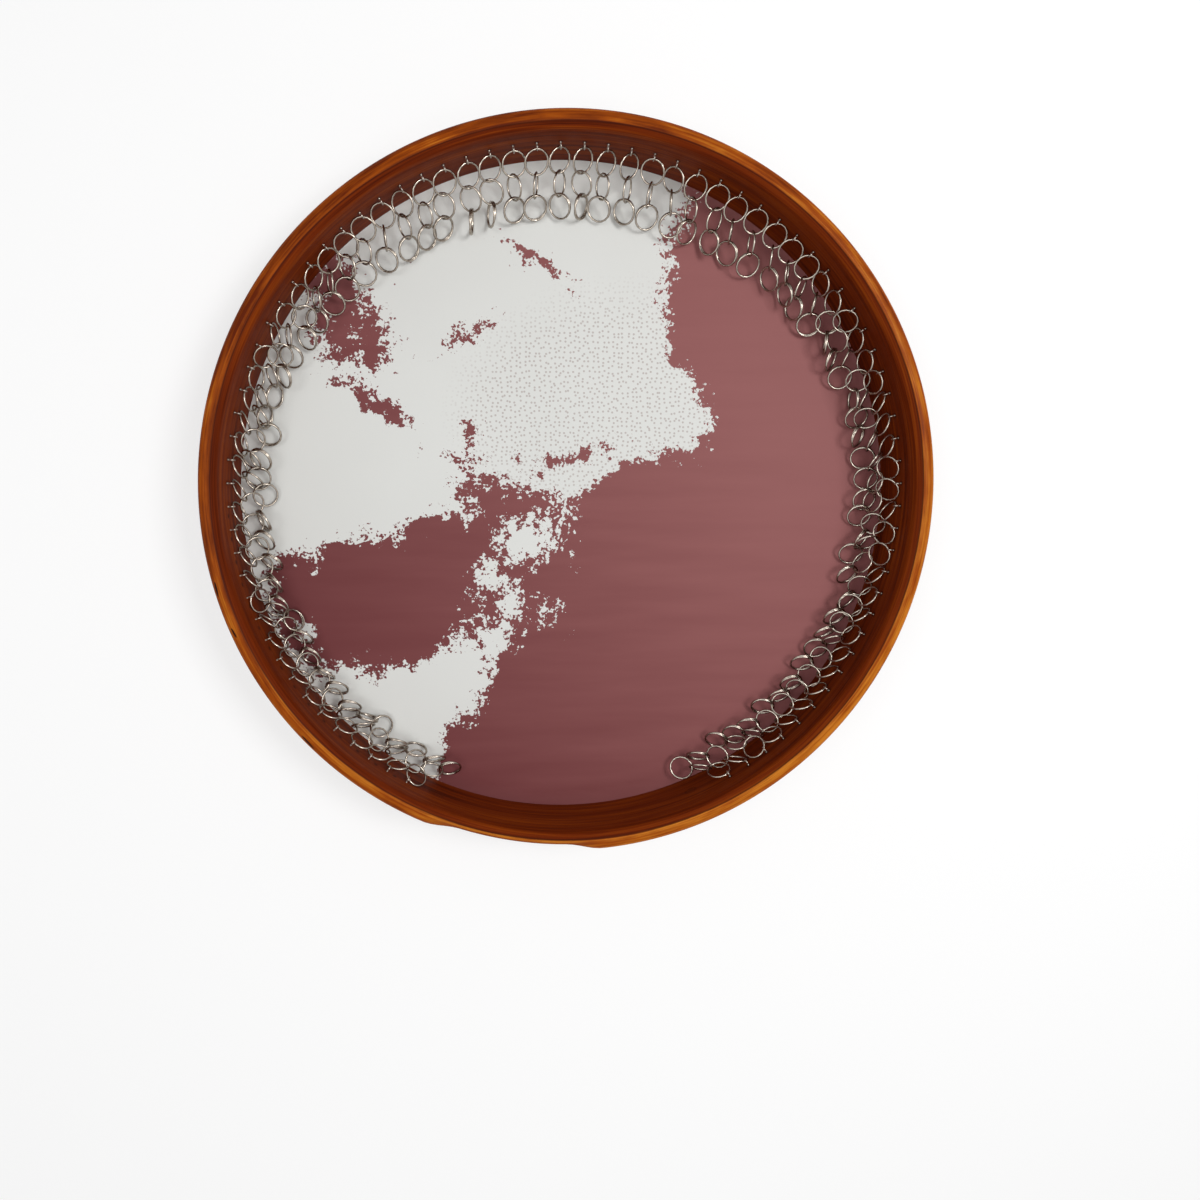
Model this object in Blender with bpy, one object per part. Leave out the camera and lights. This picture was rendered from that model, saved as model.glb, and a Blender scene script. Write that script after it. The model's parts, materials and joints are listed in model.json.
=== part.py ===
"""A daf, the large frame drum with rings, in metres.

It lies on its skin with the open back up: the skin's outer face is at Z = 0 and the drum's axis is Z.
The bottom of the drum, where it is held, points along -Y.
"""

import math

import bmesh
import bpy
from mathutils import Vector

# Hoop
OUTER_RADIUS = 0.2650
DEPTH = 0.0600
HOOP_WALL = 0.0130
REAR_ROUND_WIDTH = 0.0045
REAR_ROUND_DROP = 0.0050
REAR_CHAMFER_WIDTH = 0.0040
REAR_CHAMFER_DROP = 0.0045
FRONT_BEVEL = 0.0030
HOOP_STEPS = 60

# The middle point of the rear rounding lies this share of its width and drop from the corner
ROUND_BULGE = 1 - math.sqrt(0.5)

# Grip notch in the hoop's outer rear edge
NOTCH_FROM_DEG = 245.0
NOTCH_TO_DEG = 275.0
NOTCH_END_DEG = 6.0
NOTCH_DEPTH = 0.0050
NOTCH_HEIGHT = 0.0300
NOTCH_RUN_OUT = 0.0120
NOTCH_FINE_DEG = 2.5
NOTCH_MARGIN_DEG = 0.6

# The rounding above the notch narrows by this share of the cut, so that the rim keeps its land
NOTCH_ROUND_SHARE = 0.4

# Skin, with its edge turned round the hoop
FILM = 0.0005
LAP_HEIGHT = 0.0120
SEAT_GAP = 0.0003

# Screw eyes
EYE_COUNT = 78
EYE_ARC_DEG = 300.0
EYE_WIRE = 0.0011
EYE_LONG = 0.0078
EYE_TALL = 0.0066
EYE_STANDOFF = 0.0073
EYE_HEIGHT = 0.0340
EYE_STRIP_HEIGHT = 0.0070
EYE_STRIP_THICKNESS = 0.0013
EYE_SIDES = 6

# Rings. Each set leans in from the wall at least this far, and otherwise until it clears the skin
RING_OUTER = 0.0190
RING_WIRE = 0.00135
PAIR_WIRE = 0.0024
TOP_RING_SIDES = 8
HANGING_RING_SIDES = 6
SETS_PER_GROUP = 3
LINK_SLACK = 0.0005
EYE_SLACK = 0.0005
GROUP_GAP = 0.0010
SIDE_WELD = 0.0009
LINK_WELD = 0.0004
LEAST_LEAN_DEG = 34.0
LARGEST_LEAN_DEG = 70.0
LEAN_TRIALS = 30
BUNCH_DEG = 25.0
FLATTEST_DEG = 86.0
TWIST_SIGNS = {-1: 1, 0: -1, 1: 1}

# A three-sided wire section's corners, as a share of the round wire's radius
SECTION_SCALE = 1.15

INNER_RADIUS = OUTER_RADIUS - HOOP_WALL
HOOP_BOTTOM = FILM + SEAT_GAP
EYE_PITCH = math.radians(EYE_ARC_DEG) / (EYE_COUNT - 1)
FIRST_EYE = math.radians(90.0 - EYE_ARC_DEG / 2)
RING_RADIUS = (RING_OUTER - RING_WIRE) / 2
WIRE_CORNER = RING_WIRE / 2 * SECTION_SCALE
PAIR_CORNER = PAIR_WIRE / 2 * SECTION_SCALE
EYE_CORNER = EYE_WIRE / 2 * SECTION_SCALE

for old in list(bpy.data.objects):
    bpy.data.objects.remove(old, do_unlink=True)


def make_material(name, colour, roughness, metallic):
    material = bpy.data.materials.new(name)
    material.use_nodes = True
    shader = material.node_tree.nodes["Principled BSDF"]
    shader.inputs["Base Color"].default_value = (*colour, 1.0)
    shader.inputs["Roughness"].default_value = roughness
    shader.inputs["Metallic"].default_value = metallic
    return material


WOOD = make_material("stained_wood", (0.30, 0.075, 0.020), 0.35, 0.0)
SKIN_FILM = make_material("skin_film", (0.62, 0.58, 0.55), 0.50, 0.0)
RING_STEEL = make_material("ring_steel", (0.45, 0.43, 0.40), 0.30, 1.0)
EYE_STEEL = make_material("eye_steel", (0.38, 0.35, 0.32), 0.35, 1.0)


def add_object(name, mesh_data, material):
    """An object whose mesh is given as (points, faces)."""
    points, faces = mesh_data
    mesh = bpy.data.meshes.new(name)
    mesh.from_pydata(points, [], faces)
    mesh.materials.append(material)
    built = bmesh.new()
    built.from_mesh(mesh)
    bmesh.ops.recalc_face_normals(built, faces=built.faces)
    built.to_mesh(mesh)
    built.free()
    thing = bpy.data.objects.new(name, mesh)
    bpy.context.scene.collection.objects.link(thing)
    return thing


def union_with(thing, other):
    """Joins a hidden second half onto a thing, so that the two become one closed body."""
    other.hide_render = True
    other.display_type = "WIRE"
    join = thing.modifiers.new("joined", "BOOLEAN")
    join.operation = "UNION"
    join.solver = "EXACT"
    join.object = other


def closed_loft(sections):
    """Joins equal rings of points, each to the next and the last to the first."""
    count = len(sections[0])
    points = [point for section in sections for point in section]
    faces = []
    for i in range(len(sections)):
        a = i * count
        b = (i + 1) % len(sections) * count
        for j in range(count):
            k = (j + 1) % count
            faces.append((a + j, b + j, b + k, a + k))
    return points, faces


def turned(angles, profile):
    """A profile of (radius, height), which may change with the angle, carried round the Z axis."""
    sections = []
    for angle in angles:
        sections.append([(r * math.cos(angle), r * math.sin(angle), z) for r, z in profile(angle)])
    return closed_loft(sections)


def join_data(parts):
    points, faces = [], []
    for part_points, part_faces in parts:
        start = len(points)
        points += part_points
        faces += [tuple(start + i for i in face) for face in part_faces]
    return points, faces


def wire_loop(centre, down, side, radius_down, radius_side, corner, sides, phase=0.0):
    """A closed loop of three-sided wire in the plane of down and side, with a flat towards its centre."""
    normal = down.cross(side).normalized()
    sections = []
    for i in range(sides):
        turn = 2 * math.pi * (i + phase) / sides
        out = (down * math.cos(turn) + side * math.sin(turn)).normalized()
        place = centre + down * radius_down * math.cos(turn) + side * radius_side * math.sin(turn)
        sections.append([
            place + out * corner,
            place - out * corner * 0.5 + normal * corner * math.sin(math.pi / 3),
            place - out * corner * 0.5 - normal * corner * math.sin(math.pi / 3),
        ])
    return closed_loft(sections)


def smooth_step(value):
    value = max(0.0, min(1.0, value))
    return value * value * (3 - 2 * value)


# Angles of the hoop's sections: even steps, and finer ones along the grip notch
even_angles = [2 * math.pi * i / HOOP_STEPS for i in range(HOOP_STEPS)]
fine_count = round((NOTCH_TO_DEG - NOTCH_FROM_DEG) / NOTCH_FINE_DEG)
fine_angles = [
    math.radians(NOTCH_FROM_DEG + (NOTCH_TO_DEG - NOTCH_FROM_DEG) * i / fine_count)
    for i in range(fine_count + 1)
]
notch_margin = math.radians(NOTCH_MARGIN_DEG)
hoop_angles = [
    angle for angle in even_angles
    if not fine_angles[0] - notch_margin < angle < fine_angles[-1] + notch_margin
]
hoop_angles = sorted(hoop_angles + fine_angles)

# The strip of the hoop's inner wall that the eyes stand in, and its groove
STRIP_LOW = EYE_HEIGHT - EYE_STRIP_HEIGHT / 2
STRIP_HIGH = EYE_HEIGHT + EYE_STRIP_HEIGHT / 2
GROOVE_RADIUS = INNER_RADIUS + EYE_STRIP_THICKNESS + SEAT_GAP

# The turned edge of the film is a 45 degree face and then an upright one, and the hoop is rebated for it
DIAGONAL = math.sqrt(2)
LAP_OUTER_LINE = OUTER_RADIUS - FRONT_BEVEL
LAP_INNER_LINE = LAP_OUTER_LINE - FILM * DIAGONAL
HOOP_LINE = LAP_INNER_LINE - SEAT_GAP * DIAGONAL
LAP_INNER_RADIUS = OUTER_RADIUS - FILM
REBATE_RADIUS = LAP_INNER_RADIUS - SEAT_GAP


def notch_cut(angle):
    degrees = math.degrees(angle)
    rise = smooth_step((degrees - NOTCH_FROM_DEG) / NOTCH_END_DEG)
    fall = smooth_step((NOTCH_TO_DEG - degrees) / NOTCH_END_DEG)
    return NOTCH_DEPTH * min(rise, fall)


def hoop_profile(angle):
    cut = notch_cut(angle)
    outer = OUTER_RADIUS - cut
    round_width = REAR_ROUND_WIDTH - cut * NOTCH_ROUND_SHARE
    land_outer = outer - round_width
    return [
        (INNER_RADIUS, HOOP_BOTTOM),
        (HOOP_LINE + HOOP_BOTTOM, HOOP_BOTTOM),
        (REBATE_RADIUS, REBATE_RADIUS - HOOP_LINE),
        (REBATE_RADIUS, LAP_HEIGHT + SEAT_GAP),
        (OUTER_RADIUS, LAP_HEIGHT + SEAT_GAP),
        (OUTER_RADIUS, DEPTH - NOTCH_HEIGHT),
        (outer, DEPTH - NOTCH_HEIGHT + NOTCH_RUN_OUT),
        (outer, DEPTH - REAR_ROUND_DROP),
        (outer - round_width * ROUND_BULGE, DEPTH - REAR_ROUND_DROP * ROUND_BULGE),
        (land_outer, DEPTH),
        (INNER_RADIUS + REAR_CHAMFER_WIDTH, DEPTH),
        (INNER_RADIUS, DEPTH - REAR_CHAMFER_DROP),
        (INNER_RADIUS, STRIP_HIGH + SEAT_GAP),
        (GROOVE_RADIUS, STRIP_HIGH + SEAT_GAP),
        (GROOVE_RADIUS, STRIP_LOW - SEAT_GAP),
        (INNER_RADIUS, STRIP_LOW - SEAT_GAP),
    ]


add_object("hoop", turned(hoop_angles, hoop_profile), WOOD)


# Skin: the flat film, and its edge turned round the hoop and glued there
def skin_disc():
    radius = LAP_INNER_LINE + FILM - SEAT_GAP
    points, faces = [], []
    for height in (0.0, FILM):
        points += [(radius * math.cos(a), radius * math.sin(a), height) for a in even_angles]
    count = len(even_angles)
    faces.append(tuple(reversed(range(count))))
    faces.append(tuple(range(count, 2 * count)))
    for i in range(count):
        j = (i + 1) % count
        faces.append((i, j, count + j, count + i))
    return points, faces


def lap_profile(angle):
    return [
        (LAP_OUTER_LINE, 0.0),
        (OUTER_RADIUS, OUTER_RADIUS - LAP_OUTER_LINE),
        (OUTER_RADIUS, LAP_HEIGHT),
        (LAP_INNER_RADIUS, LAP_HEIGHT),
        (LAP_INNER_RADIUS, LAP_INNER_RADIUS - LAP_INNER_LINE),
        (LAP_INNER_LINE + FILM, FILM),
    ]


add_object("skin", skin_disc(), SKIN_FILM)
add_object("skin_lap", turned(hoop_angles, lap_profile), SKIN_FILM)


# Ring sets, worked out in a plane through the drum's axis: X outwards, Y along the hoop, Z up
EYE_CENTRE_RADIUS = INNER_RADIUS - EYE_STANDOFF + EYE_LONG / 2
HINGE_RADIUS = EYE_CENTRE_RADIUS * (1 + math.cos(EYE_PITCH)) / 2
WIRE_DROP = EYE_TALL / 2 - EYE_WIRE - RING_WIRE / 2 - EYE_SLACK
HINGE_HEIGHT = EYE_HEIGHT - WIRE_DROP
LINK = RING_WIRE + LINK_SLACK
PAIR_LINK = (WIRE_CORNER + PAIR_CORNER) / 2 - LINK_WELD
ALONG = Vector((0.0, 1.0, 0.0))


def hang(lean):
    """The way a ring hangs when it leans in by an angle."""
    return Vector((-math.sin(lean), 0.0, -math.cos(lean)))


def across(lean):
    return Vector((-math.cos(lean), 0.0, math.sin(lean)))


def twisted_side(lean, twist):
    """The way from a ring's centre to its side, when it is twisted about the line it hangs along."""
    return ALONG * math.cos(twist) + across(lean) * math.sin(twist)


def flat_topped_ring(centre, down, side, corner):
    tall_radius = RING_RADIUS / math.cos(math.pi / HANGING_RING_SIDES)
    return wire_loop(
        centre, down, side, tall_radius, RING_RADIUS, corner, HANGING_RING_SIDES, phase=0.5)


def spread(radius, reach):
    """Sideways step between the rings of a group, and their twist, so that their edges just meet."""
    step = radius * EYE_PITCH - (GROUP_GAP + SIDE_WELD) / SETS_PER_GROUP
    twist = math.acos((step + SIDE_WELD) / (2 * reach))
    return step, twist


class RingGroup:
    """Three sets side by side: their place, and their rings as wire loops."""

    def __init__(self, index):
        self.name = f"{index + 1:02d}"
        self.angle = FIRST_EYE + (SETS_PER_GROUP * index + 1) * EYE_PITCH
        bunch = math.radians(BUNCH_DEG) * (1 - smooth_step(math.sin(self.angle)))
        low, high = math.radians(LEAST_LEAN_DEG), math.radians(LARGEST_LEAN_DEG)
        for _ in range(LEAN_TRIALS):
            lean = (low + high) / 2
            self.pose(lean, bunch)
            if self.lowest() < FILM + SEAT_GAP:
                low = lean
            else:
                high = lean
        self.pose(high, bunch)

    def pose(self, lean, bunch):
        flattest = math.radians(FLATTEST_DEG)
        self.leans = (lean, lean + bunch, min(lean + 2 * bunch, flattest))
        full = 2 * RING_RADIUS
        top_centre_radius = HINGE_RADIUS - math.sin(lean) * RING_RADIUS
        self.top_step, self.top_twist = spread(top_centre_radius, RING_RADIUS + WIRE_CORNER)
        self.bend = hang(lean) * full
        self.top_data = {
            k: self.top_ring(k, lean)
            for k in TWIST_SIGNS
        }
        start = -hang(self.leans[1]) * LINK
        pair_centre_radius = (
            HINGE_RADIUS + self.bend.x + start.x + hang(self.leans[1]).x * full
            + hang(self.leans[2]).x * RING_RADIUS
        )
        self.pair_step, self.pair_twist = spread(pair_centre_radius, RING_RADIUS + PAIR_CORNER)
        self.middle_data = {}
        self.pair_data = {}
        for k, sign in TWIST_SIGNS.items():
            shift = k * (self.pair_step - self.top_step)
            drop = hang(self.leans[1]) * math.sqrt(full ** 2 - shift ** 2) + ALONG * shift
            top = start + ALONG * k * self.top_step
            self.middle_data[k] = flat_topped_ring(
                top + drop / 2, drop.normalized(), across(self.leans[1]), WIRE_CORNER)
            pair_top = top + drop - hang(self.leans[1]) * PAIR_LINK
            self.pair_data[k] = flat_topped_ring(
                pair_top + hang(self.leans[2]) * RING_RADIUS, hang(self.leans[2]),
                twisted_side(self.leans[2], self.pair_twist * sign), PAIR_CORNER)

    def top_ring(self, k, lean):
        centre = ALONG * k * self.top_step + hang(lean) * RING_RADIUS
        side = twisted_side(lean, self.top_twist * TWIST_SIGNS[k])
        return wire_loop(
            centre, hang(lean), side, RING_RADIUS, RING_RADIUS, WIRE_CORNER, TOP_RING_SIDES)

    def lowest(self):
        loops = list(self.middle_data.values()) + list(self.pair_data.values())
        return HINGE_HEIGHT + self.bend.z + min(p[2] for points, faces in loops for p in points)

    def hinge(self):
        return Vector((
            HINGE_RADIUS * math.cos(self.angle),
            HINGE_RADIUS * math.sin(self.angle),
            HINGE_HEIGHT,
        ))

    def eye_angles(self):
        return [self.angle + math.atan2(k * self.top_step, HINGE_RADIUS) for k in TWIST_SIGNS]


groups = [RingGroup(i) for i in range(EYE_COUNT // SETS_PER_GROUP)]


# Screw eyes, standing in a slice of the hoop's inner wall
def strip_profile(angle):
    outer = INNER_RADIUS + EYE_STRIP_THICKNESS
    return [(INNER_RADIUS, STRIP_LOW), (outer, STRIP_LOW), (outer, STRIP_HIGH), (INNER_RADIUS, STRIP_HIGH)]


def eye_loop(angle):
    outward = Vector((math.cos(angle), math.sin(angle), 0.0))
    centre = outward * EYE_CENTRE_RADIUS + Vector((0.0, 0.0, EYE_HEIGHT))
    long_radius = (EYE_LONG - EYE_WIRE) / 2
    tall_radius = (EYE_TALL - EYE_WIRE) / 2 / math.sin(math.pi / 3)
    up = Vector((0.0, 0.0, 1.0))
    return wire_loop(centre, outward, up, long_radius, tall_radius, EYE_CORNER, EYE_SIDES)


strip = add_object("screw_eyes", turned(even_angles, strip_profile), EYE_STEEL)
loops = join_data([eye_loop(angle) for group in groups for angle in group.eye_angles()])
union_with(strip, add_object("screw_eye_loops", loops, EYE_STEEL))


# Rings: each group's upper rings turn on its eyes, and the rings below them turn on the upper rings
for group in groups:
    top = add_object(f"top_rings_{group.name}", join_data([group.top_data[k] for k in (-1, 1)]), RING_STEEL)
    top.location = group.hinge()
    top.rotation_euler = (0.0, 0.0, group.angle)
    half = add_object(f"top_rings_{group.name}_half", group.top_data[0], RING_STEEL)
    half.parent = top
    union_with(top, half)

    first = [group.pair_data[0], group.middle_data[-1], group.middle_data[1]]
    second = [group.pair_data[-1], group.pair_data[1], group.middle_data[0]]
    hanging = add_object(f"hanging_rings_{group.name}", join_data(first), RING_STEEL)
    hanging.parent = top
    hanging.location = group.bend
    half = add_object(f"hanging_rings_{group.name}_half", join_data(second), RING_STEEL)
    half.parent = hanging
    union_with(hanging, half)
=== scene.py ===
"""The looks of a daf, a large frame drum with rings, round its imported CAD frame. It lies open back up."""

import json
import math
import random

import bpy
import numpy as np
from mathutils import Matrix, Vector


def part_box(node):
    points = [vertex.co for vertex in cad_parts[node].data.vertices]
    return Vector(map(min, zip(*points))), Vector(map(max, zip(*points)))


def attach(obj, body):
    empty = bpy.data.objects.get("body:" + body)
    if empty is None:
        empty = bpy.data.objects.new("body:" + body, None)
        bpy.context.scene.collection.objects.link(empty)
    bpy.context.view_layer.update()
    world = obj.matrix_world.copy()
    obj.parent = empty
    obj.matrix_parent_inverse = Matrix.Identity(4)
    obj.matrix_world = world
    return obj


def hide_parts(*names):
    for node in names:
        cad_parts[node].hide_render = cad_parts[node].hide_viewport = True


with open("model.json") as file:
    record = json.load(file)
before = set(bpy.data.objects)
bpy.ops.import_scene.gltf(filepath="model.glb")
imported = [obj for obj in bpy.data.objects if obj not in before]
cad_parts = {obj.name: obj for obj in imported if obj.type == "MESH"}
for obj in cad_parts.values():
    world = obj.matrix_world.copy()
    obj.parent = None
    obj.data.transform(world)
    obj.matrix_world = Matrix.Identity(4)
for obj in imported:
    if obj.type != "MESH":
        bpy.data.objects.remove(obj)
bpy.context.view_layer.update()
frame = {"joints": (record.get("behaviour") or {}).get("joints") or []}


# Camera: it looks down into the open back from about 58 cm above the rim, a little left of the drum's axis,
# as the photograph was taken.
CAMERA_PLACE = (-0.0558, 0.0095, 0.6381)
CAMERA_TILT_DEG = (-6.32, -2.93, 0.0)
CAMERA_LENS_MM = 24.27
CAMERA_SENSOR_MM = 36.0
CAMERA_SHIFT = (0.0518, -0.0218)

camera_data = bpy.data.cameras.new("camera")
camera = bpy.data.objects.new("camera", camera_data)
bpy.context.scene.collection.objects.link(camera)
camera.location = CAMERA_PLACE
camera.rotation_euler = [math.radians(angle) for angle in CAMERA_TILT_DEG]
camera_data.lens = CAMERA_LENS_MM
camera_data.sensor_width = CAMERA_SENSOR_MM
camera_data.shift_x, camera_data.shift_y = CAMERA_SHIFT
bpy.context.scene.camera = camera
bpy.context.scene.view_settings.view_transform = "Standard"


# Stage: a white table under the drum and soft studio light, strongest from the right.
# The table shows white to the camera and to glossy surfaces, and keeps the drum's shadow.
class Value:
    """A number or a colour that varies over a surface. An expression on numbers adds its Math nodes."""

    def __init__(self, nodes, socket):
        self.nodes = nodes
        self.socket = socket

    def math(self, operation, *others):
        sockets = {i: value for i, value in enumerate([self, *others])}
        return self.nodes.node("ShaderNodeMath", {"operation": operation}, sockets)

    def reversed_math(self, operation, other):
        return self.nodes.node("ShaderNodeMath", {"operation": operation}, {0: other, 1: self})

    def __add__(self, other):
        return self.math("ADD", other)

    def __sub__(self, other):
        return self.math("SUBTRACT", other)

    def __rsub__(self, other):
        return self.reversed_math("SUBTRACT", other)

    def __mul__(self, other):
        return self.math("MULTIPLY", other)

    def __truediv__(self, other):
        return self.math("DIVIDE", other)

    def __rtruediv__(self, other):
        return self.reversed_math("DIVIDE", other)

    def __neg__(self):
        return self.math("MULTIPLY", -1.0)

    __radd__ = __add__
    __rmul__ = __mul__

    def rise(self, low, high):
        """0 up to low, 1 from high on, and smooth between them."""
        return self.nodes.node(
            "ShaderNodeMapRange", {"interpolation_type": "SMOOTHSTEP"}, {0: self, 1: low, 2: high})

    def near(self, middle, reach):
        """1 at the middle value, falling to 0 at a reach from it."""
        return 1.0 - (self - middle).math("ABSOLUTE").rise(0.0, reach)


class Nodes:
    """The nodes of a material or of the world."""

    def __init__(self, tree):
        self.tree = tree

    def node(self, kind, settings=None, sockets=None, output=0):
        made = self.tree.nodes.new(kind)
        for name, value in (settings or {}).items():
            if name == "stops":
                ramp = made.color_ramp
                while len(ramp.elements) < len(value):
                    ramp.elements.new(0.5)
                for element, (position, colour) in zip(ramp.elements, value):
                    element.position = position
                    element.color = (*colour, 1.0)
            else:
                setattr(made, name, value)
        for name, value in (sockets or {}).items():
            self.feed(made.inputs[name], value)
        return Value(self, made.outputs[output])

    def feed(self, socket, value):
        if isinstance(value, Value):
            self.tree.links.new(value.socket, socket)
        elif socket.type == "RGBA":
            socket.default_value = (*value, 1.0)
        else:
            socket.default_value = value

    def shown_white(self):
        """1 for the camera's own rays and those that glossy and clear surfaces send on, and 0 for others."""
        camera_ray, glossy_ray, clear_ray = (
            self.node("ShaderNodeLightPath", output=f"Is {kind} Ray")
            for kind in ("Camera", "Glossy", "Transmission"))
        return camera_ray.math("MAXIMUM", glossy_ray).math("MAXIMUM", clear_ray)


class Finish(Nodes):
    """A procedural material on Object coordinates: x, y and z in metres."""

    def __init__(self, name, **constants):
        self.material = bpy.data.materials.new(name)
        self.material.use_nodes = True
        super().__init__(self.material.node_tree)
        self.shader = self.tree.nodes["Principled BSDF"]
        self.set(**constants)
        self.place = self.node("ShaderNodeTexCoord", output="Object")
        self.x, self.y, self.z = (
            self.node("ShaderNodeSeparateXYZ", {}, {0: self.place}, output=i) for i in range(3))

    def set(self, **inputs):
        """Feeds the shader: base_color sets Base Color, and so on."""
        for name, value in inputs.items():
            words = name.replace("_", " ").title().replace("Ior", "IOR")
            self.feed(self.shader.inputs[words], value)

    def vector(self, x, y, z):
        return self.node("ShaderNodeCombineXYZ", {}, {0: x, 1: y, 2: z})

    def noise(self, place, scale, detail=2.0, roughness=0.5, w=None):
        sockets = {"Vector": place, "Scale": scale, "Detail": detail, "Roughness": roughness}
        if w is None:
            return self.node("ShaderNodeTexNoise", {}, sockets)
        return self.node("ShaderNodeTexNoise", {"noise_dimensions": "4D"}, {**sockets, "W": w})

    def mix(self, share, first, second):
        return self.node(
            "ShaderNodeMix", {"data_type": "RGBA"}, {0: share, 6: first, 7: second}, output=2)

    def inside_ovals(self, place, ovals):
        """Metres inside the nearest of some ovals on x and y, and below 0 outside them all."""
        field = None
        for middle_x, middle_y, half_x, half_y, turn_deg in ovals:
            halves = (half_x, half_y, 1.0)
            inside = self.node("ShaderNodeMapping", {"vector_type": "TEXTURE"}, {
                "Vector": place, "Location": (middle_x, middle_y, 0.0),
                "Rotation": (0.0, 0.0, math.radians(turn_deg)), "Scale": halves})
            slope = self.node("ShaderNodeVectorMath", {"operation": "DIVIDE"}, {0: inside, 1: halves})
            reach, steepness = (
                self.node("ShaderNodeVectorMath", {"operation": "LENGTH"}, {0: vector}, output="Value")
                for vector in (inside, slope))
            depth = reach * (1.0 - reach) / steepness
            field = depth if field is None else field.math("MAXIMUM", depth)
        return field

    def bump(self, height, distance):
        self.set(normal=self.node("ShaderNodeBump", {}, {"Height": height, "Distance": distance}))


TABLE_SIZE = 14.0
TABLE_DROP = 0.0008
TABLE_GREY = (0.98, 0.98, 0.98)
TABLE_GLOW_SHARE = 0.58
AMBIENT = 0.34
WHITE = (1.0, 1.0, 1.0)
# Name, place, size and power of each lamp
LAMPS = [
    ("key_light", (0.78, 0.26, 1.40), 0.55, 12.5),
    ("left_light", (-0.80, 0.05, 1.50), 0.7, 5.0),
    ("front_light", (0.10, -0.45, 1.70), 0.8, 5.0),
]

bpy.ops.object.select_all(action="DESELECT")
bpy.ops.mesh.primitive_plane_add(size=TABLE_SIZE, location=(0.0, 0.0, -TABLE_DROP))
table = bpy.context.active_object
table.name = "table_top"
table_finish = Finish("white_table", roughness=0.9, base_color=TABLE_GREY)
glow = table_finish.node("ShaderNodeEmission", {}, {"Color": WHITE, "Strength": 1.0})
lit = Value(table_finish, table_finish.shader.outputs[0])
glow_share = table_finish.shown_white() * TABLE_GLOW_SHARE
shown = table_finish.node("ShaderNodeMixShader", {}, {0: glow_share, 1: lit, 2: glow})
table_finish.feed(table_finish.tree.nodes["Material Output"].inputs["Surface"], shown)
table.data.materials.append(table_finish.material)

world = bpy.data.worlds.new("studio")
world.use_nodes = True
sky = Nodes(world.node_tree)
background = sky.tree.nodes["Background"]
sky.feed(background.inputs["Color"], WHITE)
sky.feed(background.inputs["Strength"], sky.shown_white() * (1.0 - AMBIENT) + AMBIENT)
bpy.context.scene.world = world
for name, place, size, power in LAMPS:
    lamp_data = bpy.data.lights.new(name, "AREA")
    lamp_data.size = size
    lamp_data.energy = power
    lamp = bpy.data.objects.new(name, lamp_data)
    lamp.location = place
    lamp.rotation_euler = (-Vector(place)).to_track_quat("-Z", "Y").to_euler()
    bpy.context.scene.collection.objects.link(lamp)


# Hoop: a plank of pale hardwood steamed and bent into a ring, then stained red-brown and lacquered.
# Its rear edge is rounded, its inner corner chamfered, and a shallow grip is cut into its outer edge.
hoop_low, hoop_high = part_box("hoop")
OUTER_RADIUS = hoop_high.x
DEPTH = hoop_high.z
HOOP_BOTTOM = hoop_low.z
HOOP_WALL = 0.0130
INNER_RADIUS = OUTER_RADIUS - HOOP_WALL
HOOP_SEGMENTS = 320
HOOP_SHARP_DEG = 35.0
REAR_ROUND_WIDTH = 0.0045
REAR_ROUND_DROP = 0.0050
REAR_ROUND_STEPS = 6
REAR_CHAMFER_WIDTH = 0.0040
REAR_CHAMFER_DROP = 0.0045
CORNER_SOFTNESS = 0.0007
LAND_CROWN = 0.0002
WALL_STEPS = 8
FRONT_BEVEL = 0.0030
FILM = 0.0005
SEAT_GAP = 0.0003
LAP_HEIGHT = 0.0120
REBATE = FILM + SEAT_GAP
GRIP_FROM_DEG = 245.0
GRIP_TO_DEG = 275.0
GRIP_END_DEG = 6.0
GRIP_DEPTH = 0.0050
GRIP_HEIGHT = 0.0300
GRIP_RUN_OUT = 0.0120


def turn_round(name, profile, segments):
    """Extrudes and resizes a circle from one (radius, height) of a profile to the next."""
    radius, height = profile[0]
    bpy.ops.object.select_all(action="DESELECT")
    bpy.ops.mesh.primitive_circle_add(vertices=segments, radius=radius, location=(0.0, 0.0, height))
    piece = bpy.context.active_object
    piece.name = name
    bpy.ops.object.transform_apply(location=True)
    bpy.ops.object.mode_set(mode="EDIT")
    bpy.ops.mesh.select_all(action="SELECT")
    for next_radius, next_height in profile[1:]:
        bpy.ops.mesh.extrude_region_move(
            TRANSFORM_OT_translate={"value": (0.0, 0.0, next_height - height)})
        stretch = next_radius / radius
        bpy.ops.transform.resize(value=(stretch, stretch, 1.0), center_override=(0.0, 0.0, 0.0))
        radius, height = next_radius, next_height
    bpy.ops.object.mode_set(mode="OBJECT")
    return piece


def settle(piece, sharp_deg):
    """Welds a piece's seams, turns its faces out and shades it smooth apart from its sharp edges."""
    bpy.ops.object.select_all(action="DESELECT")
    piece.select_set(True)
    bpy.context.view_layer.objects.active = piece
    bpy.ops.object.mode_set(mode="EDIT")
    bpy.ops.mesh.select_all(action="SELECT")
    bpy.ops.mesh.remove_doubles(threshold=0.000001)
    bpy.ops.mesh.normals_make_consistent(inside=False)
    bpy.ops.object.mode_set(mode="OBJECT")
    bpy.ops.object.shade_smooth_by_angle(angle=math.radians(sharp_deg))


def smooth_step(value):
    value = max(0.0, min(1.0, value))
    return value * value * (3 - 2 * value)


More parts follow.
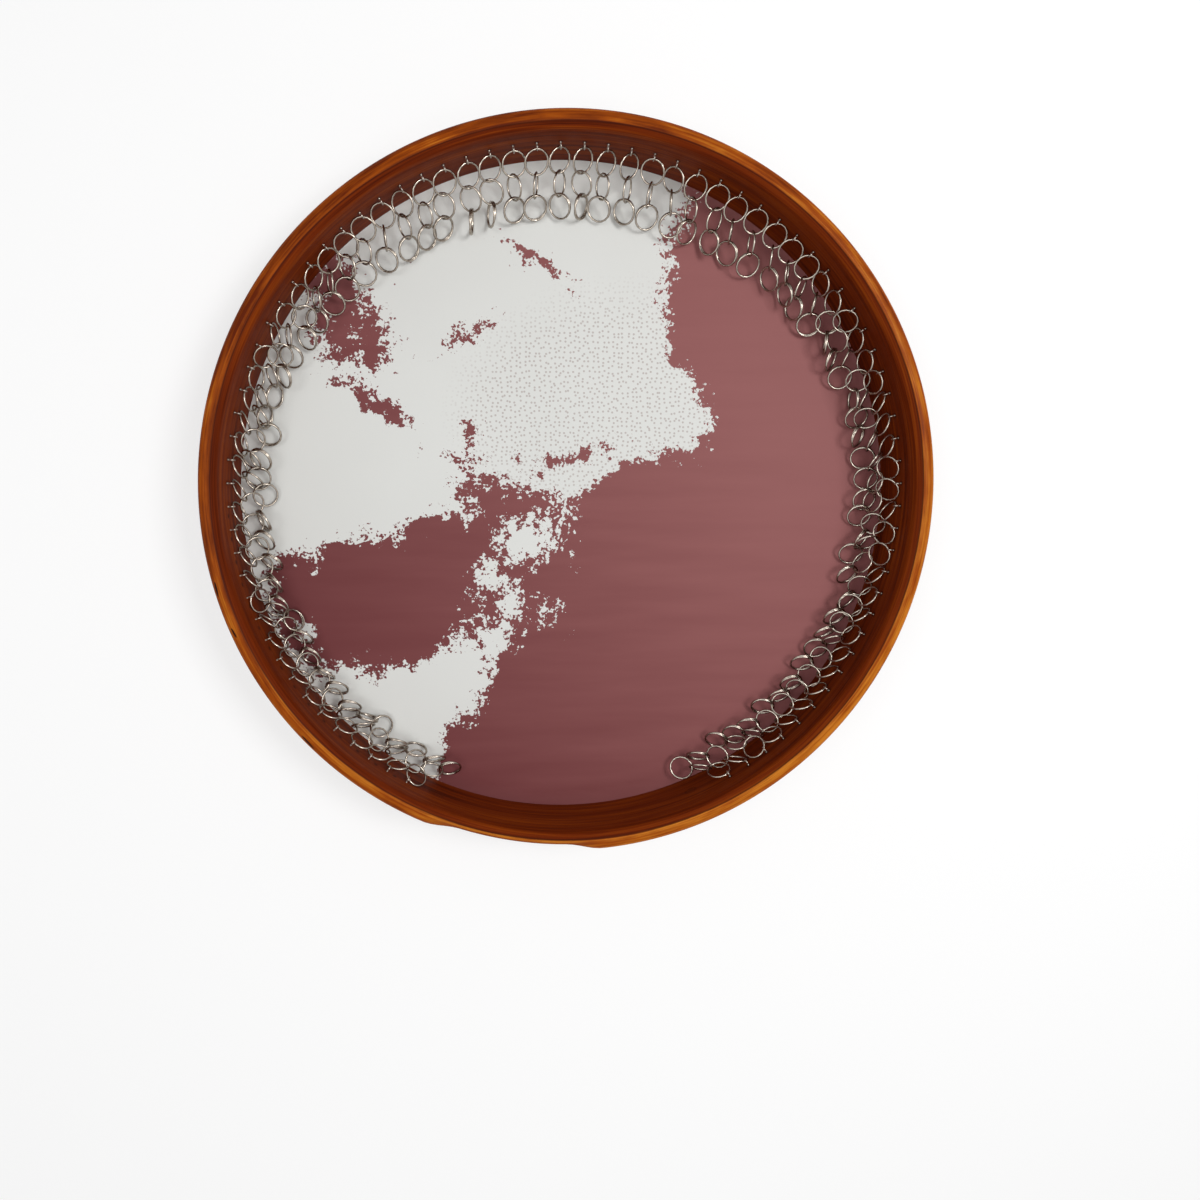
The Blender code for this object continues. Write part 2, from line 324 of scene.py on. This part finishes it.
def hoop_profile():
    """Round the hoop's section from its inner front corner: front edge, outer wall, rear edge, inner wall."""
    land_outer = OUTER_RADIUS - REAR_ROUND_WIDTH
    land_inner = INNER_RADIUS + REAR_CHAMFER_WIDTH
    bevel_line = OUTER_RADIUS - FRONT_BEVEL - REBATE * math.sqrt(2)
    points = [
        (INNER_RADIUS, HOOP_BOTTOM),
        (bevel_line + HOOP_BOTTOM, HOOP_BOTTOM),
        (OUTER_RADIUS - REBATE, OUTER_RADIUS - REBATE - bevel_line),
        (OUTER_RADIUS - REBATE, LAP_HEIGHT + SEAT_GAP),
        (OUTER_RADIUS, LAP_HEIGHT + SEAT_GAP),
    ]
    low, high = LAP_HEIGHT + SEAT_GAP, DEPTH - REAR_ROUND_DROP
    for i in range(1, WALL_STEPS):
        points.append((OUTER_RADIUS, low + (high - low) * i / WALL_STEPS))
    for i in range(REAR_ROUND_STEPS + 1):
        turn = math.pi / 2 * i / REAR_ROUND_STEPS
        points.append((
            land_outer + REAR_ROUND_WIDTH * math.cos(turn),
            high + (REAR_ROUND_DROP - LAND_CROWN) * math.sin(turn),
        ))
    middle = (land_outer + land_inner) / 2
    points += [
        (middle, DEPTH),
        (land_inner + CORNER_SOFTNESS, DEPTH - LAND_CROWN / 2),
        (land_inner, DEPTH - LAND_CROWN),
        (land_inner - CORNER_SOFTNESS, DEPTH - CORNER_SOFTNESS),
        (INNER_RADIUS + CORNER_SOFTNESS, DEPTH - REAR_CHAMFER_DROP + CORNER_SOFTNESS),
        (INNER_RADIUS, DEPTH - REAR_CHAMFER_DROP - CORNER_SOFTNESS),
    ]
    top = DEPTH - REAR_CHAMFER_DROP - CORNER_SOFTNESS
    for i in range(1, WALL_STEPS + 1):
        points.append((INNER_RADIUS, top + (HOOP_BOTTOM - top) * i / WALL_STEPS))
    return points


def grip_share(angle):
    """How fully the grip is cut at an angle round the hoop, from 0 to 1."""
    degrees = math.degrees(angle) % 360.0
    rise = smooth_step((degrees - GRIP_FROM_DEG) / GRIP_END_DEG)
    fall = smooth_step((GRIP_TO_DEG - degrees) / GRIP_END_DEG)
    return min(rise, fall)


hoop = turn_round("wood_hoop", hoop_profile(), HOOP_SEGMENTS)
settle(hoop, HOOP_SHARP_DEG)
for vertex in hoop.data.vertices:
    radius = math.hypot(vertex.co.x, vertex.co.y)
    depth_share = smooth_step((vertex.co.z - (DEPTH - GRIP_HEIGHT)) / GRIP_RUN_OUT)
    wall_share = max(0.0, (radius - INNER_RADIUS - REAR_CHAMFER_WIDTH) / (HOOP_WALL - REAR_CHAMFER_WIDTH))
    cut = GRIP_DEPTH * grip_share(math.atan2(vertex.co.y, vertex.co.x)) * depth_share * wall_share
    vertex.co.x *= (radius - cut) / radius
    vertex.co.y *= (radius - cut) / radius

joints = {joint["name"]: joint for joint in frame["joints"]}
GROUP_COUNT = sum(name.startswith("top_swing_") for name in joints)
SETS_PER_GROUP = 3
EYE_COUNT = GROUP_COUNT * SETS_PER_GROUP
EYE_ARC_DEG = 300.0
EYE_PITCH = math.radians(EYE_ARC_DEG) / (EYE_COUNT - 1)
FIRST_EYE = math.radians(90.0 - EYE_ARC_DEG / 2)
EYE_HEIGHT = 0.0340
# Two knots in the inner wall and the pits in the rim: the place along the wall, the height or the radius and
# the half sizes, in metres, and the turn in degrees
KNOTS = [(-0.503, 0.029, 0.0060, 0.0030, 8.0), (-0.296, 0.025, 0.0045, 0.0030, -12.0)]
PITS = [
    (-0.729, 0.2620, 0.0050, 0.0007, 4.0),
    (-0.697, 0.2612, 0.0035, 0.0006, -6.0),
    (-0.605, 0.2622, 0.0060, 0.0006, 3.0),
]
# Stain colours, from the darkest streaks to the lightest, on the walls and on the rim
WALL_STAIN = [
    (0.34, (0.050, 0.005, 0.0005)),
    (0.50, (0.155, 0.020, 0.0015)),
    (0.66, (0.270, 0.050, 0.0030)),
]
RIM_STAIN = [
    (0.36, (0.110, 0.014, 0.0010)),
    (0.50, (0.300, 0.058, 0.0025)),
    (0.64, (0.520, 0.168, 0.0140)),
]
# How strongly the rim is painted lighter towards +x and darker towards +y, as painted light
RIM_PAINTED_LIGHT_SHIFT = 0.20
SEAM_COLOUR = (0.045, 0.005, 0.001)
PORE_COLOUR = (0.055, 0.010, 0.002)
# Painted shade round each eye's shank on the inner wall
EYE_PAINTED_SHADE_COLOUR = (0.020, 0.003, 0.001)
KNOT_EDGE_COLOUR = (0.060, 0.008, 0.001)
KNOT_COLOUR = (0.080, 0.012, 0.002)
PIT_COLOUR = (0.015, 0.003, 0.001)
GRIP_COLOUR = (0.200, 0.048, 0.015)
GRIP_PALE_DEG = 16.0
GRAIN_RELIEF = 0.0001
EYES_FROM_Y = -0.2215

wood = Finish("stained_wood", coat_roughness=0.20, coat_ior=1.40, specular_ior_level=0.05)
radius = (wood.x * wood.x + wood.y * wood.y).math("SQRT")
round_x = wood.x / radius
round_y = wood.y / radius


def along_grain(run, across):
    """Noise stretched round the hoop: a run of this many metres to a width of so many metres."""
    reach = INNER_RADIUS / run
    place = wood.vector(round_x * reach, round_y * reach, wood.z / across)
    return wood.noise(place, 1.0, detail=3.0, roughness=0.55, w=radius / across)


broad = along_grain(0.160, 0.0060)
fine = along_grain(0.075, 0.0012)
pores = along_grain(0.020, 0.0005)
blotches = along_grain(0.035, 0.0060)
# Where the rear rim is, the outer wall, and the dark line along the chamfer's edge
on_top = radius.rise(INNER_RADIUS + 0.0030, INNER_RADIUS + 0.0042)
rear = wood.z.rise(DEPTH - 0.0062, DEPTH - 0.0030) * on_top
outside = radius.rise(OUTER_RADIUS - 0.0030, OUTER_RADIUS - 0.0015)
seam = radius.near(INNER_RADIUS + 0.0036, 0.0009) * wood.z.rise(DEPTH - 0.0040, DEPTH - 0.0010)
stain = wood.node("ShaderNodeValToRGB", {"stops": WALL_STAIN}, {0: broad * 0.5 + fine * 0.5})
# The rim's stain blotches and streaks, plus painted light: lighter towards the right and bottom, darker
# towards the top and left
rim_grain_and_painted_light = blotches * 0.45 + broad * 0.15 + fine * 0.4 + (wood.x - wood.y) * RIM_PAINTED_LIGHT_SHIFT
rim_stain_and_painted_light = wood.node("ShaderNodeValToRGB", {"stops": RIM_STAIN}, {0: rim_grain_and_painted_light})
colour = wood.mix((rear + outside * 0.45).math("MINIMUM", 1.0), stain, rim_stain_and_painted_light)
colour = wood.mix(seam * 0.85, colour, SEAM_COLOUR)
colour = wood.mix(pores.rise(0.60, 0.72) * 0.45, colour, PORE_COLOUR)
# Painted shade round each eye where its shank enters the inner wall, two knots on the inner wall, pits in the
# rim, and the grip's paler cut
turn = wood.y.math("ARCTAN2", wood.x)
inner = 1.0 - radius.rise(INNER_RADIUS + 0.0005, INNER_RADIUS + 0.0015)
spacing = (((turn - FIRST_EYE) / EYE_PITCH + 0.5).math("FRACT") - 0.5) * EYE_PITCH * INNER_RADIUS
from_eye = (spacing * spacing + (wood.z - EYE_HEIGHT) * (wood.z - EYE_HEIGHT)).math("SQRT")
# Painted shade: a near-black spot on the inner wall round the shank of each eye
eye_painted_shade = (1.0 - from_eye.rise(0.0008, 0.0026)) * inner * wood.y.rise(EYES_FROM_Y, EYES_FROM_Y + 0.0010)
colour = wood.mix(eye_painted_shade * 0.8, colour, EYE_PAINTED_SHADE_COLOUR)
knot = wood.inside_ovals(wood.vector(turn * INNER_RADIUS, wood.z, 0.0), KNOTS) + (fine - 0.5) * 0.004
colour = wood.mix(knot.near(0.0, 0.0012) * inner * 0.7, colour, KNOT_EDGE_COLOUR)
colour = wood.mix(knot.rise(0.0010, 0.0020) * inner * 0.5, colour, KNOT_COLOUR)
pit = wood.inside_ovals(wood.vector(turn * INNER_RADIUS, radius, 0.0), PITS).rise(-0.0004, 0.0002)
colour = wood.mix(pit * rear, colour, PIT_COLOUR)
grip = turn.near(math.radians((GRIP_FROM_DEG + GRIP_TO_DEG) / 2 - 360.0), math.radians(GRIP_PALE_DEG))
cut_face = radius.rise(INNER_RADIUS + 0.0048, INNER_RADIUS + 0.0060) * wood.z.rise(0.036, 0.044)
colour = wood.mix(grip.rise(0.0, 0.25) * cut_face * 0.55, colour, GRIP_COLOUR)
wood.set(base_color=colour, roughness=0.42 + fine * 0.18, coat_weight=0.025 - pores.rise(0.55, 0.75) * 0.015)
wood.bump(pores.rise(0.55, 0.75) * -0.6 + fine * 0.4, GRAIN_RELIEF)
hoop.data.materials.append(wood.material)
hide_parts("hoop")
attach(hoop, "drum")


# Skin: a printed plastic film, stretched over the front of the hoop, turned round its edge and glued there.
# The film is off-white with a deep red hide mottle that shows through on both of its faces.
SKIN_SEGMENTS = 192
SKIN_SHARP_DEG = 50.0
SKIN_RINGS = (0.030, 0.080, 0.140, 0.200, 0.240)
LAP_LINE = OUTER_RADIUS - FRONT_BEVEL
LAP_INNER = OUTER_RADIUS - FILM
LAP_INNER_LINE = LAP_LINE - FILM * math.sqrt(2)

skin_profile = [(r, 0.0) for r in SKIN_RINGS]
skin_profile += [
    (LAP_LINE, 0.0),
    (OUTER_RADIUS, FRONT_BEVEL),
    (OUTER_RADIUS, LAP_HEIGHT),
    (LAP_INNER, LAP_HEIGHT),
    (LAP_INNER, LAP_INNER - LAP_INNER_LINE),
    (LAP_INNER_LINE + FILM, FILM),
]
skin_profile += [(r, FILM) for r in reversed(SKIN_RINGS)]
skin = turn_round("film_skin", skin_profile, SKIN_SEGMENTS)
bpy.ops.object.mode_set(mode="EDIT")
bpy.ops.mesh.select_all(action="DESELECT")
bpy.ops.mesh.select_mode(type="EDGE")
bpy.ops.mesh.select_non_manifold()
bpy.ops.mesh.edge_face_add()
bpy.ops.object.mode_set(mode="OBJECT")
settle(skin, SKIN_SHARP_DEG)

film = Finish("printed_film", roughness=0.52, specular_ior_level=0.12)
# Places and half sizes in metres, and the turn in degrees, of the mottle's main patches
RED_PATCHES = [
    (0.200, 0.150, 0.125, 0.160, 0.0),
    (0.130, -0.120, 0.150, 0.150, 0.0),
    (0.235, -0.020, 0.060, 0.120, 0.0),
    (0.020, -0.190, 0.150, 0.096, 45.0),
    (0.110, -0.040, 0.118, 0.078, 0.0),
    (-0.036, -0.065, 0.056, 0.072, 0.0),
    (-0.150, -0.086, 0.070, 0.054, -6.0),
    (-0.102, -0.056, 0.040, 0.042, 0.0),
    (-0.205, -0.090, 0.024, 0.050, 20.0),
    (-0.062, -0.002, 0.023, 0.016, -20.0),
    (-0.174, 0.140, 0.020, 0.040, 8.0),
    (-0.152, 0.120, 0.014, 0.022, 0.0),
    (-0.148, 0.070, 0.026, 0.006, -38.0),
    (-0.026, 0.181, 0.021, 0.003, -36.0),
    (-0.080, 0.121, 0.013, 0.0022, 27.0),
    (-0.079, 0.028, 0.009, 0.004, 0.0),
    (-0.076, 0.049, 0.003, 0.002, 0.0),
    (0.004, 0.029, 0.022, 0.003, 8.0),
]
WHITE_PATCHES = [
    (0.100, 0.057, 0.017, 0.011, 20.0),
    (0.087, 0.078, 0.013, 0.026, 28.0),
    (-0.031, -0.034, 0.022, 0.016, 0.0),
    (-0.063, -0.063, 0.013, 0.012, 0.0),
    (-0.045, -0.083, 0.010, 0.011, 0.0),
    (-0.057, -0.113, 0.014, 0.014, 0.0),
    (-0.013, -0.094, 0.006, 0.005, 20.0),
    (-0.206, -0.108, 0.003, 0.010, 25.0),
    (-0.138, -0.170, 0.076, 0.032, 14.0),
    (-0.086, -0.140, 0.024, 0.030, 0.0),
]
SPECKLED_PLACES = [
    (-0.165, 0.135, 0.032, 0.060, 8.0),
    (-0.035, -0.060, 0.050, 0.070, 0.0),
    (-0.070, 0.000, 0.030, 0.025, 0.0),
]
# Places of the fine printed dots and of a few larger flecks in the white
DOTTED_PLACE = (0.025, 0.075, 0.105, 0.075, 12.0)
FLECKED_PLACE = (-0.105, 0.150, 0.050, 0.040, 0.0)
MOTTLE_WARP = 0.022
FLAKES = 0.042
FLAKE_SCALE = 420.0
TEETH = 0.052
TEETH_SCALE = 110.0
DOT_SCALE = 265.0
FLECK_SCALE = 70.0
# The red from its darkest to its lightest. Its tint streaks and a painted light gradient, lighter towards +x
# and +y, move between them.
DARK_RED = (0.145, 0.036, 0.038)
LIGHT_RED = (0.275, 0.100, 0.098)
DARK_WHITE = (0.67, 0.675, 0.65)
LIGHT_WHITE = (0.73, 0.735, 0.71)
DOT_COLOUR = (0.42, 0.36, 0.34)
FILM_TEXTURE_SCALE = 900.0
FILM_RELIEF = 0.00003

# The edge between the two colours: wandering ovals, made ragged by broad teeth and small flakes
wander_x = film.noise(film.place, 38.0, w=0.0) - 0.5
wander_y = film.noise(film.place, 38.0, w=4.0) - 0.5
warped = film.vector(film.x + wander_x * MOTTLE_WARP, film.y + wander_y * MOTTLE_WARP, 0.0)
inside_red = film.inside_ovals(warped, RED_PATCHES)
inside_white = film.inside_ovals(warped, WHITE_PATCHES)
field = inside_red.math("MINIMUM", -inside_white)
raggedness = film.noise(film.place, 16.0, detail=1.0).rise(0.38, 0.60) * 0.60 + 0.40
speckled = film.inside_ovals(warped, SPECKLED_PLACES).rise(-0.015, 0.020)
raggedness = raggedness + speckled * 0.55
flakes = (film.noise(film.place, FLAKE_SCALE, detail=3.0, roughness=0.6) - 0.5) * FLAKES
teeth = (film.noise(film.place, TEETH_SCALE, detail=3.0, roughness=0.6) - 0.5) * TEETH
printed = (field + (flakes + teeth) * raggedness).rise(-0.0004, 0.0004)
# The tints of both colours, with fine dots and a few flecks in the white. The red also carries painted light:
# it is lighter towards the upper right and darker towards the lower left.
tint = film.noise(film.vector(film.x * 0.35, film.y * 3.0, 0.0), 22.0, detail=3.0)
# Painted light on the red: a straight ramp, lighter towards +x and +y and darker towards -x and -y, under its
# printed tint streaks
red_tint_and_painted_light = ((film.x - film.y * -0.6) * 1.6 + 0.55 + (tint - 0.5) * 0.35).rise(0.0, 1.0)
red = film.mix(red_tint_and_painted_light, DARK_RED, LIGHT_RED)
pale = film.mix(film.noise(film.place, 9.0), DARK_WHITE, LIGHT_WHITE)
flat_place = film.vector(film.x, film.y, 0.0)
dots = film.node(
    "ShaderNodeTexVoronoi", {"voronoi_dimensions": "2D"},
    {"Vector": flat_place, "Scale": DOT_SCALE, "Randomness": 0.7})
dotted = film.inside_ovals(warped, [DOTTED_PLACE]).rise(-0.025, 0.025)
pale = film.mix((1.0 - dots.rise(0.16, 0.27)) * dotted * 0.7, pale, DOT_COLOUR)
flecks = film.node("ShaderNodeTexVoronoi", {}, {"Vector": flat_place, "Scale": FLECK_SCALE})
flecked = film.inside_ovals(warped, [FLECKED_PLACE]).rise(-0.010, 0.020)
pale = film.mix((1.0 - flecks.rise(0.045, 0.065)) * flecked, pale, red)
film.set(base_color=film.mix(printed, pale, red))
film.bump(film.noise(film.place, FILM_TEXTURE_SCALE), FILM_RELIEF)
skin.data.materials.append(film.material)
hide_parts("skin", "skin_lap")
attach(skin, "drum")


# Screw eyes: plated wire bent into an oval eye on a short threaded shank, screwed into the inner wall.
# There are 78 of them, all turned upright, with a gap in the row where the drum is held.
EYE_SIDES = 12
EYE_WIRE_SIDES = 5
EYE_WIRE = 0.0010
EYE_LONG = 0.0047
EYE_TALL = 0.0056
EYE_CENTRE_RADIUS = 0.24885
SHANK_SIDES = 8
SHANK_WIRE = 0.0012
SHANK_IN_WOOD = 0.0015
DARK_EYE_METAL = (0.36, 0.31, 0.26)
LIGHT_EYE_METAL = (0.62, 0.57, 0.51)

bpy.ops.object.select_all(action="DESELECT")
bpy.ops.mesh.primitive_torus_add(
    major_segments=EYE_SIDES, minor_segments=EYE_WIRE_SIDES, major_radius=(EYE_TALL - EYE_WIRE) / 2,
    minor_radius=EYE_WIRE / 2, rotation=(math.pi / 2, 0.0, 0.0))
eye = bpy.context.active_object
bpy.ops.object.transform_apply(rotation=True)
bpy.ops.transform.resize(value=((EYE_LONG - EYE_WIRE) / (EYE_TALL - EYE_WIRE), 1.0, 1.0))
bpy.ops.object.transform_apply(scale=True)
shank_start = EYE_LONG / 2 - EYE_WIRE
shank_end = INNER_RADIUS + SHANK_IN_WOOD - EYE_CENTRE_RADIUS
bpy.ops.mesh.primitive_cylinder_add(
    vertices=SHANK_SIDES, radius=SHANK_WIRE / 2, depth=shank_end - shank_start,
    location=((shank_start + shank_end) / 2, 0.0, 0.0), rotation=(0.0, math.pi / 2, 0.0))
bpy.ops.object.transform_apply(location=True, rotation=True)
eye.select_set(True)
bpy.context.view_layer.objects.active = eye
bpy.ops.object.join()


def copies_joined(name, model, places):
    """One piece made of a copy of the model at each place, each copy with its own mesh."""
    copies = []
    for place in places:
        copy = model.copy()
        copy.data = model.data.copy()
        copy.data.transform(place)
        bpy.context.scene.collection.objects.link(copy)
        copies.append(copy)
    bpy.ops.object.select_all(action="DESELECT")
    for copy in copies:
        copy.select_set(True)
    bpy.context.view_layer.objects.active = copies[0]
    bpy.ops.object.join()
    copies[0].name = name
    bpy.ops.object.shade_smooth()
    return copies[0]


eye_places = []
for i in range(EYE_COUNT):
    turn = Matrix.Rotation(FIRST_EYE + i * EYE_PITCH, 4, "Z")
    eye_places.append(turn @ Matrix.Translation((EYE_CENTRE_RADIUS, 0.0, EYE_HEIGHT)))
eyes = copies_joined("wire_eyes", eye, eye_places)
bpy.data.objects.remove(eye)

eye_metal = Finish("plated_eye_wire", metallic=1.0)
tarnish = eye_metal.noise(eye_metal.place, 600.0)
eye_metal.set(
    base_color=eye_metal.mix(tarnish, DARK_EYE_METAL, LIGHT_EYE_METAL),
    roughness=0.26 + tarnish * 0.18)
eyes.data.materials.append(eye_metal.material)
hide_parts("screw_eyes")
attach(eyes, "drum")


# Rings: nickel-plated steel wire, 19 mm across, butted and closed by hand into chains on the screw eyes.
# Each chain is a top ring, a middle ring and a pair side by side below it, all free to turn in their links.
RING_OUTER = 0.0190
RING_WIRE = 0.00135
RING_RADIUS = (RING_OUTER - RING_WIRE) / 2
RING_SIDES = 16
WIRE_SIDES = 5
WIRE_SWELL = 1.15
LINK = 0.00185
PAIR_SPACING = 0.0015
# The levels of a chain, and for each level the most sideways sway, the inward lean at the drum's sides, the
# spread of the sway in radians, the share seen broad from above and the least turn from the ring above
TOP, MIDDLE, PAIR = range(3)
MOST_SWAYS_DEG = (34.0, 46.0, 56.0)
SIDE_LEANS_DEG = (25.0, 35.0, 48.0)
SWAY_SPREADS = (0.08, 0.14, 0.16)
BROAD_SHARES = (1.0, 0.6, 0.15)
LEAST_TURNS = (0.0, 0.5, 0.65)
BROAD_TWIST = (0.20, 0.70)
NARROW_TWIST = (0.95, 1.57)
LEAN_SPREAD = 0.05
PAIR_FAN = (0.06, 0.20)
# The least distance between the centre lines of two wires, how much more it counts towards wood and film, how
# far apart two rings can't meet, the points that stand for a ring, and how often a hang is drawn anew
CLEAR = 0.00155
SOLID_WEIGHT = 6.0
FAR_APART = 2.5 * RING_OUTER
RING_POINTS = 30
TRIES = 30
SEED = 11
DARK_RING_METAL = (0.24, 0.205, 0.17)
LIGHT_RING_METAL = (0.56, 0.50, 0.43)

bpy.ops.object.select_all(action="DESELECT")
bpy.ops.mesh.primitive_torus_add(
    major_segments=RING_SIDES, minor_segments=WIRE_SIDES, major_radius=RING_RADIUS,
    minor_radius=RING_WIRE / 2 * WIRE_SWELL)
ring = bpy.context.active_object


def ring_place(top, down, side):
    """Where a ring goes that hangs from its top along down, with its plane through side."""
    normal = down.cross(side).normalized()
    side = normal.cross(down).normalized()
    centre = top + down * RING_RADIUS
    return Matrix((
        (down.x, side.x, normal.x, centre.x),
        (down.y, side.y, normal.y, centre.y),
        (down.z, side.z, normal.z, centre.z),
        (0.0, 0.0, 0.0, 1.0),
    ))


turns = [2 * math.pi * i / RING_POINTS for i in range(RING_POINTS)]
ring_line = np.array([
    [RING_RADIUS * math.cos(a), RING_RADIUS * math.sin(a), 0.0, 1.0] for a in turns])
hung = []


def swung(joint, share):
    """The turn of a joint's child at a share of the joint's range."""
    pivot = Matrix.Translation(joint["pos_m"])
    turn = Matrix.Rotation(math.radians(joint["range_deg"][1]) * share, 4, Vector(joint["axis"]))
    return pivot @ turn @ pivot.inverted()


def clearance(lines):
    """Least distance between a ring's wire line and those of other rings, at rest and at the joints' limits.

    A wire in the wall or the skin counts as closer than it is, because it would show more.
    """
    wall = INNER_RADIUS - np.hypot(lines[:, :, 0], lines[:, :, 1]).max() + RING_WIRE / 2
    floor = lines[0, :, 2].min() - FILM + RING_WIRE / 2
    solid = min(wall, floor)
    least = min(solid, RING_WIRE - SOLID_WEIGHT * (RING_WIRE - solid))
    centre = lines[0].mean(axis=0)
    for other in hung:
        if np.linalg.norm(centre - other[0].mean(axis=0)) < FAR_APART:
            for line, other_line in zip(lines, other):
                if np.linalg.norm(line.mean(axis=0) - other_line.mean(axis=0)) < RING_OUTER + CLEAR:
                    gaps = np.linalg.norm(line[:, None, :] - other_line[None, :, :], axis=2)
                    least = min(least, gaps.min())
    return least


def hang_rings(draw, poses):
    """Tries a few hangs of a ring or pair, and keeps the first that clears all else, or else the clearest."""
    best = None
    for _ in range(TRIES):
        candidate = draw()
        lines = [
            np.array([(ring_line @ np.array(pose @ place).T)[:, :3] for pose in poses])
            for place in candidate[0]]
        least = min(clearance(line) for line in lines)
        if best is None or least > best[0]:
            best = (least, lines, candidate)
        if least > CLEAR:
            break
    hung.extend(best[1])
    return best[2]


def fanned_pair(place, fan):
    """A ring's place made into two in the same link, side by side and spread a little."""
    down, side, normal = (Vector(column) for column in place.to_3x3().col)
    top = place.translation - down * RING_RADIUS
    return [
        Matrix.Translation(top + normal * PAIR_SPACING / 2 * way) @ Matrix.Rotation(way * fan / 2, 4, side)
        @ Matrix.Translation(-top) @ place
        for way in (-1, 1)]


ring_metal = Finish("ring_wire", metallic=1.0)
wear = ring_metal.noise(ring_metal.place, 260.0, detail=3.0)
ring_metal.set(
    base_color=ring_metal.mix(wear, DARK_RING_METAL, LIGHT_RING_METAL),
    roughness=0.16 + wear * 0.14)


class Chain:
    """One chain of rings on a screw eye, built from the top ring down."""

    def __init__(self, group_place, leans, sways, eye_offset, luck):
        self.frame = group_place
        self.leans = leans
        self.sways = sways
        self.low = eye_offset
        self.turned = 0.0
        self.luck = luck

    def hang(self, lean, sway, twist):
        """Where a ring lies that hangs from the chain's end, and which way that is in the group's frame."""
        down = Vector((-math.sin(lean) * math.cos(sway), math.sin(sway), -math.cos(lean) * math.cos(sway)))
        across = Vector((-math.cos(lean), 0.0, math.sin(lean)))
        side = Vector((0.0, 1.0, 0.0)) * math.cos(twist) + across * math.sin(twist)
        turned = self.frame.to_3x3()
        return ring_place(self.frame @ self.low, turned @ down, turned @ side), down

    def draw(self, level):
        """A ring or pair seen broad or narrow from above, and turned from the ring that it hangs in."""
        broad = self.luck.random() < BROAD_SHARES[level] or abs(self.turned) > BROAD_TWIST[1]
        for _ in range(TRIES):
            twist = self.luck.uniform(*(BROAD_TWIST if broad else NARROW_TWIST)) * self.luck.choice((-1, 1))
            between = abs(twist - self.turned) % math.pi
            if min(between, math.pi - between) >= LEAST_TURNS[level]:
                break
        spread = SWAY_SPREADS[level]
        sway = self.sways[level] + self.luck.uniform(-spread, spread)
        lean = self.leans[level] + (self.luck.uniform(-LEAN_SPREAD, LEAN_SPREAD) if level > TOP else 0.0)
        place, down = self.hang(lean, sway, twist)
        places = fanned_pair(place, self.luck.uniform(*PAIR_FAN)) if level == PAIR else [place]
        return places, down, twist

    def add(self, level, poses):
        """Hangs the next ring or pair where it clears the rest, and gives its places."""
        places, down, self.turned = hang_rings(lambda: self.draw(level), poses)
        self.low = self.low + down * (2 * RING_RADIUS - LINK)
        return places


luck = random.Random(SEED)
for i in range(GROUP_COUNT):
    number = f"{i + 1:02d}"
    upper, lower = joints[f"top_swing_{number}"], joints[f"hanging_swing_{number}"]
    hinge, bend = Vector(upper["pos_m"]), Vector(lower["pos_m"])
    angle = math.atan2(hinge.y, hinge.x)
    group_place = Matrix.Translation(hinge) @ Matrix.Rotation(angle, 4, "Z")
    drop = Matrix.Rotation(-angle, 3, "Z") @ (bend - hinge)
    lean = math.atan2(-drop.x, -drop.z)
    at_side = 1 - smooth_step(math.sin(angle))
    leans = [lean + (math.radians(side_lean) - lean) * at_side for side_lean in SIDE_LEANS_DEG]
    sway = math.atan2(abs(math.cos(angle)) * math.sin(lean), max(math.sin(angle), 0.0))
    sways = [-math.copysign(min(sway, math.radians(most)), math.cos(angle)) for most in MOST_SWAYS_DEG]
    limits = [(0, 0), (1, 0), (0, 1), (1, 1)]
    upper_poses = [swung(upper, up) for up, _ in limits]
    lower_poses = [swung(upper, up) @ swung(lower, down) for up, down in limits]
    top_places, hanging_places = [], []
    for k in (-1, 0, 1):
        eye_offset = Vector((0.0, hinge.xy.length * math.sin(k * EYE_PITCH), 0.0))
        chain = Chain(group_place, leans, sways, eye_offset, luck)
        top_places += chain.add(TOP, upper_poses)
        hanging_places += chain.add(MIDDLE, lower_poses)
        hanging_places += chain.add(PAIR, lower_poses)
    for kind, places in (("top_rings", top_places), ("hanging_rings", hanging_places)):
        body = f"{kind}_{number}"
        piece = copies_joined(f"wire_{body}", ring, places)
        piece.data.materials.append(ring_metal.material)
        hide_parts(body)
        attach(piece, body)
bpy.data.objects.remove(ring)
